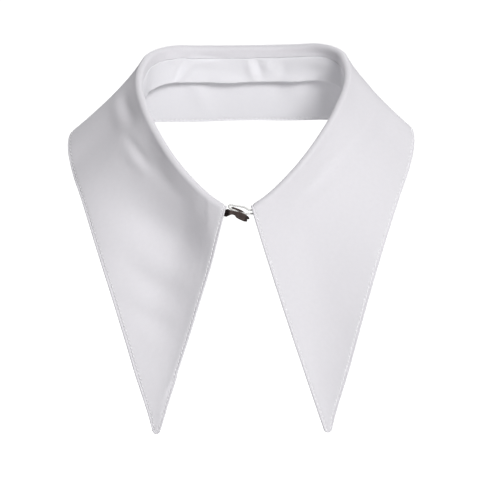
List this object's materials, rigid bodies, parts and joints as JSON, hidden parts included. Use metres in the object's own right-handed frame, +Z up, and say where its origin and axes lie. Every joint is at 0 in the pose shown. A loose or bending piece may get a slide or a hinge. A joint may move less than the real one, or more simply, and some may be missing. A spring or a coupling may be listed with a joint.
{
  "type": "detachable shirt collar",
  "caption": "White cotton shirt collar with very long pointed leaves, folded over a low stand and hooked closed at the front, worn open-necked with nothing inside.",
  "frame": {"origin": "middle of the neck, halfway between the highest and lowest parts of the folded edge", "axes": "+Z up along the neck, -Y the wearer's front where the points hang, +X the viewer's right when facing the collar"},
  "size_m": [0.204, 0.158, 0.1907],
  "materials": {
    "white_cotton": "matte, fine plain weave",
    "dark_metal": "satin, dark coated",
    "white_cord": "matte cord"
  },
  "bodies": {
    "root": {"top_collar": "white_cotton", "under_collar": "white_cotton", "stand": "white_cotton", "hook": "dark_metal", "eye_loop": "white_cord"}
  },
  "joints": []
}
